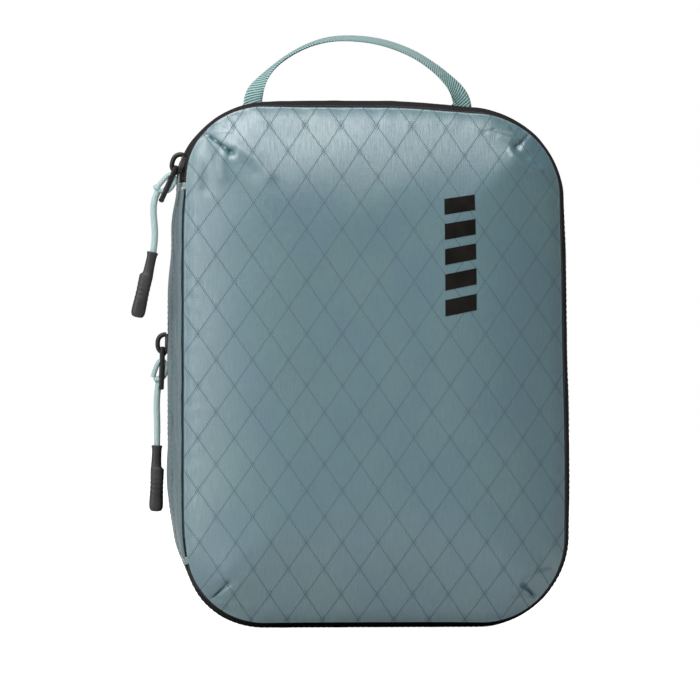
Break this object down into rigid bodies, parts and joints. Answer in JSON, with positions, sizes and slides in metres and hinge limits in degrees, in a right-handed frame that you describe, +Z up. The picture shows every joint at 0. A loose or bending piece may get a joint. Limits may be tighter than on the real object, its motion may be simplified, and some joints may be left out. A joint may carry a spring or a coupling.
{
  "type": "packing cube",
  "caption": "Soft rectangular packing cube with a domed zip-open front panel, a second zip that lets the back expand, a top webbing handle and corded zip pulls.",
  "frame": {"origin": "middle of the bottom of the fabric gusset and the rear band that the cube stands on, at floor level", "axes": "+X across the front to the right, +Y from the front panel to the back, +Z up; the front panel faces -Y"},
  "size_m": [0.2152, 0.0723, 0.2916],
  "materials": {
    "ripstop_fabric": "thin diamond-ripstop nylon with a soft sheen",
    "fold_fabric": "folded nylon edge",
    "pale_fabric": "pale woven tab",
    "webbing": "ribbed woven webbing",
    "print": "flat screen print",
    "zip_tape": "woven polyester tape",
    "zip_coil": "nylon coil",
    "binding": "grosgrain binding",
    "slider_metal": "black satin coating",
    "pull_cord": "braided cord",
    "grip_rubber": "matte moulded grip"
  },
  "bodies": {
    "bag_body": {"mid_gusset": "ripstop_fabric", "spine_panel": "ripstop_fabric", "spine_fold_strip": "fold_fabric", "main_zip_rear_tape": "zip_tape", "main_zip_rear_coil": "zip_coil", "main_zip_end_tapes": "zip_tape", "main_zip_end_coil": "zip_coil", "main_zip_stops": "slider_metal", "upper_zip_end_tab": "fold_fabric", "lower_zip_end_tab": "fold_fabric", "gusset_front_binding": "binding", "gusset_rear_binding": "binding", "compression_zip_front_tape": "zip_tape", "compression_zip_front_coil": "zip_coil", "compression_zip_end_tape": "zip_tape", "compression_zip_end_coil": "zip_coil", "compression_zip_stop": "slider_metal", "compression_zip_end_tab": "pale_fabric", "handle_anchors": "webbing", "expansion_gusset": "ripstop_fabric"},
    "lid": {"front_panel": "ripstop_fabric", "printed_mark": "print", "front_seam_binding": "binding", "main_zip_front_tape": "zip_tape", "main_zip_front_coil": "zip_coil"},
    "rear_shell": {"back_panel": "ripstop_fabric", "rear_band": "ripstop_fabric", "compression_zip_rear_tape": "zip_tape", "compression_zip_rear_coil": "zip_coil", "back_seam_binding": "binding"},
    "handle": {"handle_webbing": "webbing"},
    "main_slider": {"main_slider_body": "slider_metal", "main_slider_bridge": "slider_metal"},
    "main_tab": {"main_pull_tab": "slider_metal"},
    "main_cord": {"main_pull_knot": "pull_cord", "main_pull_cord": "pull_cord", "main_pull_grip": "grip_rubber"},
    "compression_slider": {"compression_slider_body": "slider_metal", "compression_slider_bridge": "slider_metal"},
    "compression_tab": {"compression_pull_tab": "slider_metal"},
    "compression_cord": {"compression_pull_knot": "pull_cord", "compression_pull_cord": "pull_cord", "compression_pull_grip": "grip_rubber"}
  },
  "joints": [
    {"name": "lid_hinge", "type": "hinge", "parent": "bag_body", "child": "lid", "pos_m": [-0.0925, -0.034, 0.13], "axis": [0, 0, 1], "range_deg": [-135, 0]},
    {"name": "compression_expand", "type": "slide", "parent": "bag_body", "child": "rear_shell", "axis": [0, 1, 0], "range_m": [0, 0.035], "deforming": ["expansion_gusset"]},
    {"name": "handle_swing", "type": "hinge", "parent": "bag_body", "child": "handle", "pos_m": [-0.0065, -0.016, 0.26185], "axis": [1, 0, 0], "range_deg": [-75, 75]},
    {"name": "main_slider_travel", "type": "hinge", "parent": "bag_body", "child": "main_slider", "pos_m": [-0.0525, -0.026, 0.2155], "axis": [0, 1, 0], "range_deg": [0, 50]},
    {"name": "main_tab_swing", "type": "hinge", "parent": "main_slider", "child": "main_tab", "pos_m": [-0.09631, -0.026, 0.2268], "axis": [0, 1, 0], "range_deg": [0, 110]},
    {"name": "main_cord_swing", "type": "hinge", "parent": "main_tab", "child": "main_cord", "pos_m": [-0.10123, -0.026, 0.21575], "axis": [0, 1, 0], "range_deg": [0, 80]},
    {"name": "compression_slider_travel", "type": "slide", "parent": "bag_body", "child": "compression_slider", "axis": [0, 0, 1], "range_m": [0, 0.066]},
    {"name": "compression_tab_swing", "type": "hinge", "parent": "compression_slider", "child": "compression_tab", "pos_m": [-0.0994, 0.011, 0.138], "axis": [0, 1, 0], "range_deg": [0, 110]},
    {"name": "compression_cord_swing", "type": "hinge", "parent": "compression_tab", "child": "compression_cord", "pos_m": [-0.10108, 0.011, 0.12602], "axis": [0, 1, 0], "range_deg": [0, 80]}
  ]
}
